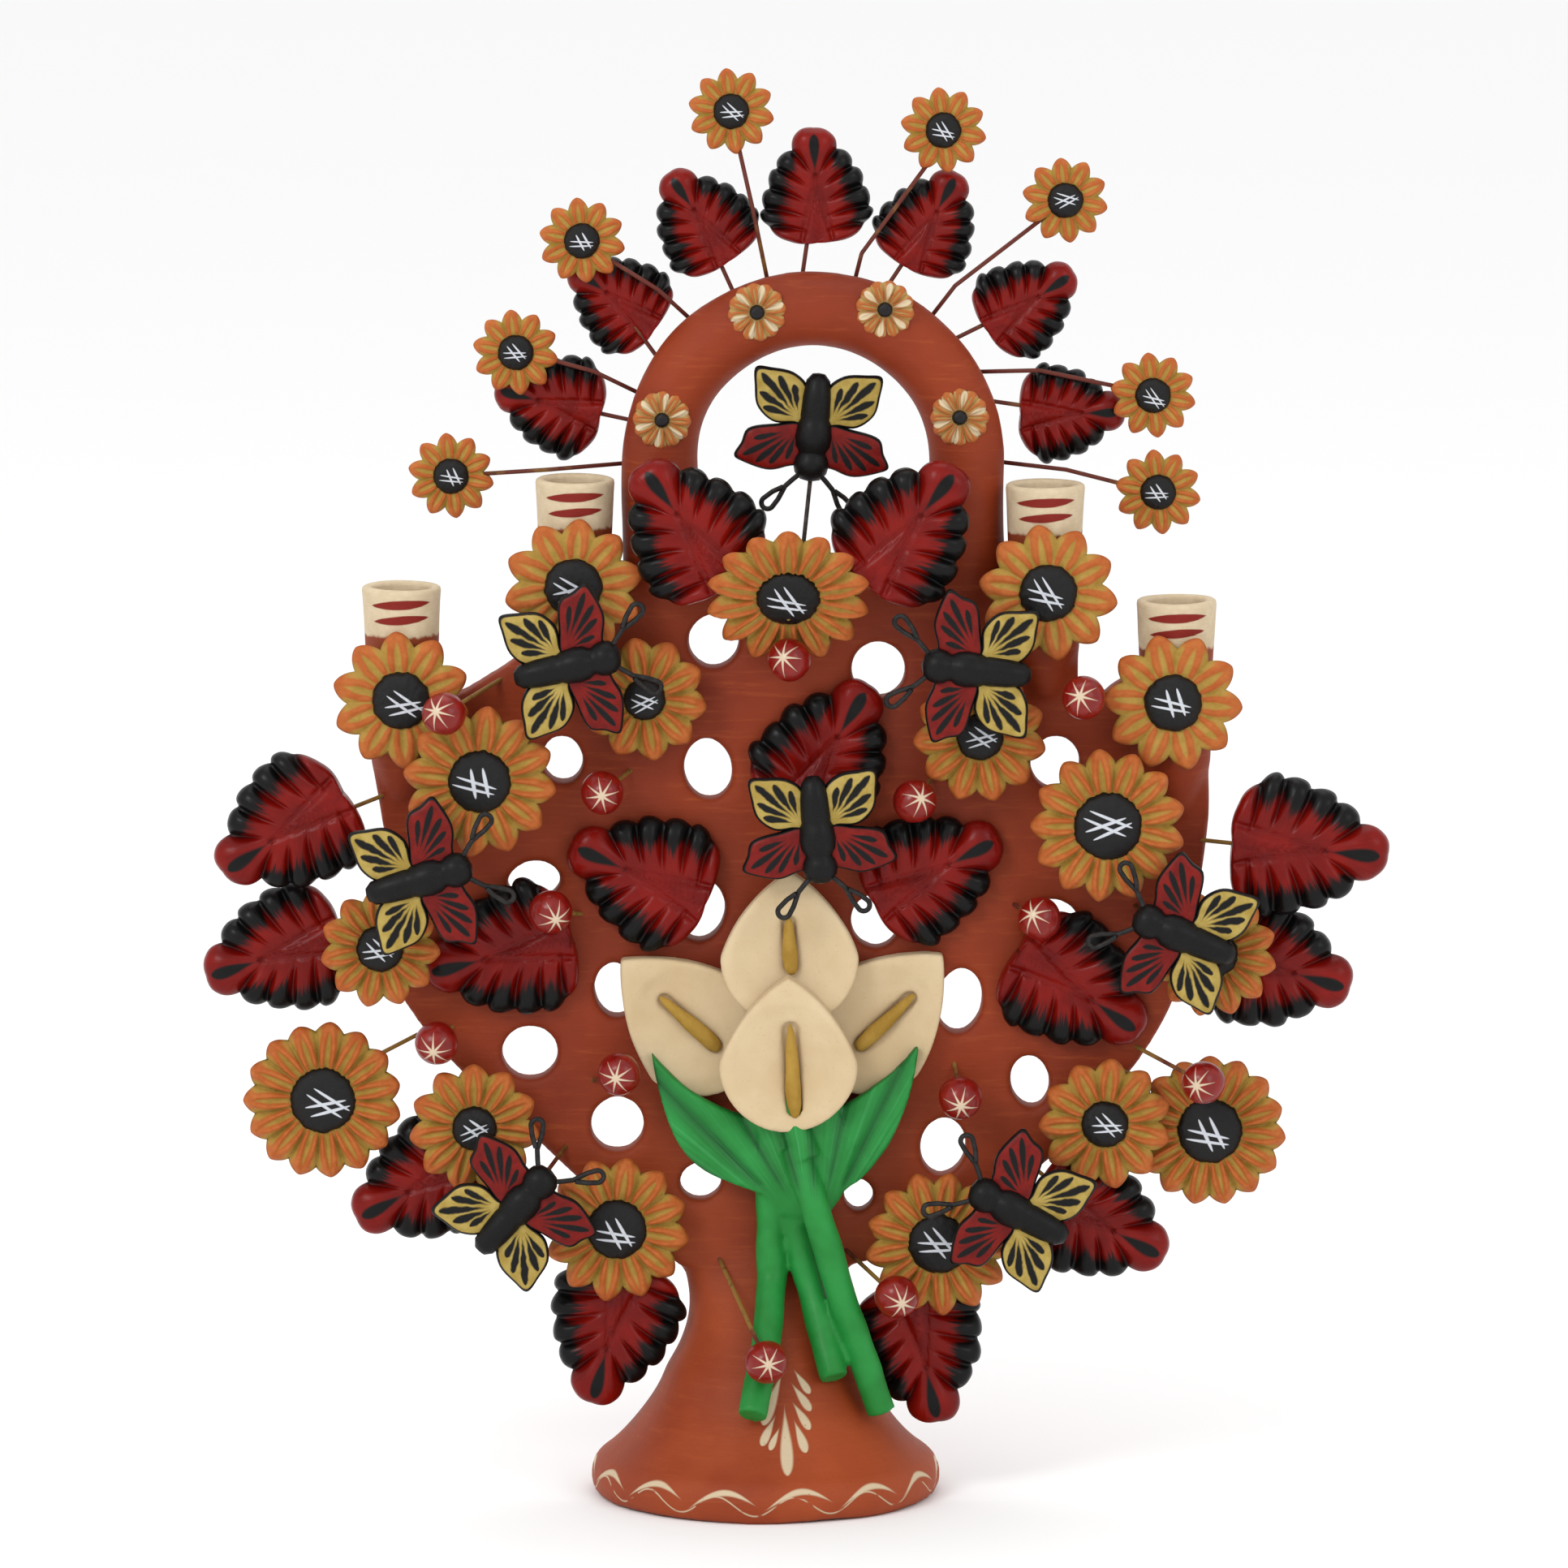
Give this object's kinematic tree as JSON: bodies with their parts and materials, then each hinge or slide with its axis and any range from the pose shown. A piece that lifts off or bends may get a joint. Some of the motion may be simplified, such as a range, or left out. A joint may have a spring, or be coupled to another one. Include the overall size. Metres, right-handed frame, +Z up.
{
  "type": "clay tree of life",
  "caption": "Clay tree of life with candle cups: a bell foot and pierced fan with an arch, covered in painted clay flowers, leaves, berries, lilies and butterflies on wires.",
  "frame": {"origin": "under the middle of the tree's width, on the surface it stands on, at the middle of the foot's depth", "axes": "+Z up, -Y towards the front with the ornaments, +X to the right seen from the front"},
  "size_m": [0.437, 0.13, 0.5307],
  "materials": {
    "terracotta": "burnished red clay slip, satin",
    "cream_clay": "cream paint on fired clay, matt",
    "sunflower_paint": "orange and mustard paint on fired clay, satin",
    "daisy_paint": "mustard and cream paint on fired clay, satin",
    "red_leaf_paint": "dark red enamel with black brush strokes, glossy",
    "berry_red": "red enamel with a cream star, glossy",
    "butterfly_paint": "black, red and yellow paint on fired clay, satin",
    "lily_cream": "cream paint on fired clay, matt",
    "mustard_paint": "mustard paint on fired clay, matt",
    "green_paint": "green paint on fired clay, satin",
    "wire_steel": "annealed steel wire, brushed over with paint"
  },
  "bodies": {
    "tree": {"arch": "terracotta", "arch_daisies": "daisy_paint", "candle_cup_inner_left": "cream_clay", "candle_cup_inner_right": "cream_clay", "candle_cup_outer_left": "cream_clay", "candle_cup_outer_right": "cream_clay", "fan_panel": "terracotta", "foot": "terracotta", "halo_leaves": "red_leaf_paint", "leaf_centre": "red_leaf_paint", "leaves_arch": "red_leaf_paint", "leaves_bottom": "red_leaf_paint", "leaves_far_lower": "red_leaf_paint", "leaves_far_upper": "red_leaf_paint", "leaves_inner": "red_leaf_paint", "leaves_lower": "red_leaf_paint", "leaves_middle": "red_leaf_paint", "lily_front": "lily_cream", "lily_leaf_left": "green_paint", "lily_leaf_right": "green_paint", "lily_left": "lily_cream", "lily_right": "lily_cream", "lily_spadices": "mustard_paint", "lily_stems": "green_paint", "lily_top": "lily_cream", "red_berries": "berry_red", "stem_wires": "wire_steel", "sunflower_cup_inner_left": "sunflower_paint", "sunflower_cup_inner_right": "sunflower_paint", "sunflower_cup_outer_left": "sunflower_paint", "sunflower_cup_outer_right": "sunflower_paint", "sunflower_large_left": "sunflower_paint", "sunflower_large_right": "sunflower_paint", "sunflower_lower_left": "sunflower_paint", "sunflower_lower_right": "sunflower_paint", "sunflower_mid_left": "sunflower_paint", "sunflower_mid_right": "sunflower_paint", "sunflower_middle_left": "sunflower_paint", "sunflower_middle_right": "sunflower_paint", "sunflower_round_left": "sunflower_paint", "sunflower_round_right": "sunflower_paint", "sunflower_top": "sunflower_paint", "sunflower_upper_left": "sunflower_paint", "sunflower_upper_right": "sunflower_paint"},
    "butterfly_arch_body": {"butterfly_arch": "butterfly_paint"},
    "butterfly_centre_body": {"butterfly_centre": "butterfly_paint"},
    "butterfly_lower_left_body": {"butterfly_lower_left": "butterfly_paint"},
    "butterfly_lower_right_body": {"butterfly_lower_right": "butterfly_paint"},
    "butterfly_mid_left_body": {"butterfly_mid_left": "butterfly_paint"},
    "butterfly_mid_right_body": {"butterfly_mid_right": "butterfly_paint"},
    "butterfly_upper_left_body": {"butterfly_upper_left": "butterfly_paint"},
    "butterfly_upper_right_body": {"butterfly_upper_right": "butterfly_paint"},
    "halo_sunflower_1_body": {"halo_sunflower_1": "sunflower_paint"},
    "halo_sunflower_2_body": {"halo_sunflower_2": "sunflower_paint"},
    "halo_sunflower_3_body": {"halo_sunflower_3": "sunflower_paint"},
    "halo_sunflower_4_body": {"halo_sunflower_4": "sunflower_paint"},
    "halo_sunflower_5_body": {"halo_sunflower_5": "sunflower_paint"},
    "halo_sunflower_6_body": {"halo_sunflower_6": "sunflower_paint"},
    "halo_sunflower_7_body": {"halo_sunflower_7": "sunflower_paint"},
    "halo_sunflower_8_body": {"halo_sunflower_8": "sunflower_paint"}
  },
  "joints": [
    {"name": "butterfly_upper_left_nod", "type": "hinge", "parent": "tree", "child": "butterfly_upper_left_body", "pos_m": [-0.08627, -0.00434, 0.29465], "axis": [1, 0, 0], "range_deg": [-3, 3], "stiffness_Nm_per_rad": 2},
    {"name": "butterfly_upper_right_nod", "type": "hinge", "parent": "tree", "child": "butterfly_upper_right_body", "pos_m": [0.06592, -0.004, 0.31612], "axis": [1, 0, 0], "range_deg": [-3, 3], "stiffness_Nm_per_rad": 2},
    {"name": "butterfly_centre_nod", "type": "hinge", "parent": "tree", "child": "butterfly_centre_body", "pos_m": [0.00685, -0.00406, 0.24642], "axis": [1, 0, 0], "range_deg": [-3, 3], "stiffness_Nm_per_rad": 2},
    {"name": "butterfly_mid_left_nod", "type": "hinge", "parent": "tree", "child": "butterfly_mid_left_body", "pos_m": [-0.13915, -0.00401, 0.23588], "axis": [1, 0, 0], "range_deg": [-3, 3], "stiffness_Nm_per_rad": 2},
    {"name": "butterfly_mid_right_nod", "type": "hinge", "parent": "tree", "child": "butterfly_mid_right_body", "pos_m": [0.12591, -0.00423, 0.22186], "axis": [1, 0, 0], "range_deg": [-3, 3], "stiffness_Nm_per_rad": 2},
    {"name": "butterfly_lower_left_nod", "type": "hinge", "parent": "tree", "child": "butterfly_lower_left_body", "pos_m": [-0.08282, -0.00451, 0.13218], "axis": [1, 0, 0], "range_deg": [-3, 3], "stiffness_Nm_per_rad": 2},
    {"name": "butterfly_lower_right_nod", "type": "hinge", "parent": "tree", "child": "butterfly_lower_right_body", "pos_m": [0.07764, -0.00426, 0.12916], "axis": [1, 0, 0], "range_deg": [-3, 3], "stiffness_Nm_per_rad": 2},
    {"name": "butterfly_arch_nod", "type": "hinge", "parent": "tree", "child": "butterfly_arch_body", "pos_m": [0.00219, -0.0009, 0.33802], "axis": [1, 0, 0], "range_deg": [-3, 3], "stiffness_Nm_per_rad": 2},
    {"name": "halo_sunflower_1_sway", "type": "hinge", "parent": "tree", "child": "halo_sunflower_1_body", "pos_m": [-0.0084, 0.013, 0.44806], "axis": [0, 1, 0], "range_deg": [-3, 3], "stiffness_Nm_per_rad": 2},
    {"name": "halo_sunflower_2_sway", "type": "hinge", "parent": "tree", "child": "halo_sunflower_2_body", "pos_m": [0.02227, 0.013, 0.44909], "axis": [0, 1, 0], "range_deg": [-3, 3], "stiffness_Nm_per_rad": 2},
    {"name": "halo_sunflower_3_sway", "type": "hinge", "parent": "tree", "child": "halo_sunflower_3_body", "pos_m": [0.04817, 0.013, 0.43462], "axis": [0, 1, 0], "range_deg": [-3, 3], "stiffness_Nm_per_rad": 2},
    {"name": "halo_sunflower_4_sway", "type": "hinge", "parent": "tree", "child": "halo_sunflower_4_body", "pos_m": [-0.03479, 0.013, 0.43497], "axis": [0, 1, 0], "range_deg": [-3, 3], "stiffness_Nm_per_rad": 2},
    {"name": "halo_sunflower_5_sway", "type": "hinge", "parent": "tree", "child": "halo_sunflower_5_body", "pos_m": [-0.0528, 0.013, 0.40819], "axis": [0, 1, 0], "range_deg": [-3, 3], "stiffness_Nm_per_rad": 2},
    {"name": "halo_sunflower_6_sway", "type": "hinge", "parent": "tree", "child": "halo_sunflower_6_body", "pos_m": [0.0665, 0.013, 0.41793], "axis": [0, 1, 0], "range_deg": [-3, 3], "stiffness_Nm_per_rad": 2},
    {"name": "halo_sunflower_7_sway", "type": "hinge", "parent": "tree", "child": "halo_sunflower_7_body", "pos_m": [-0.05801, 0.013, 0.38426], "axis": [0, 1, 0], "range_deg": [-3, 3], "stiffness_Nm_per_rad": 2},
    {"name": "halo_sunflower_8_sway", "type": "hinge", "parent": "tree", "child": "halo_sunflower_8_body", "pos_m": [0.07302, 0.013, 0.38486], "axis": [0, 1, 0], "range_deg": [-3, 3], "stiffness_Nm_per_rad": 2}
  ]
}
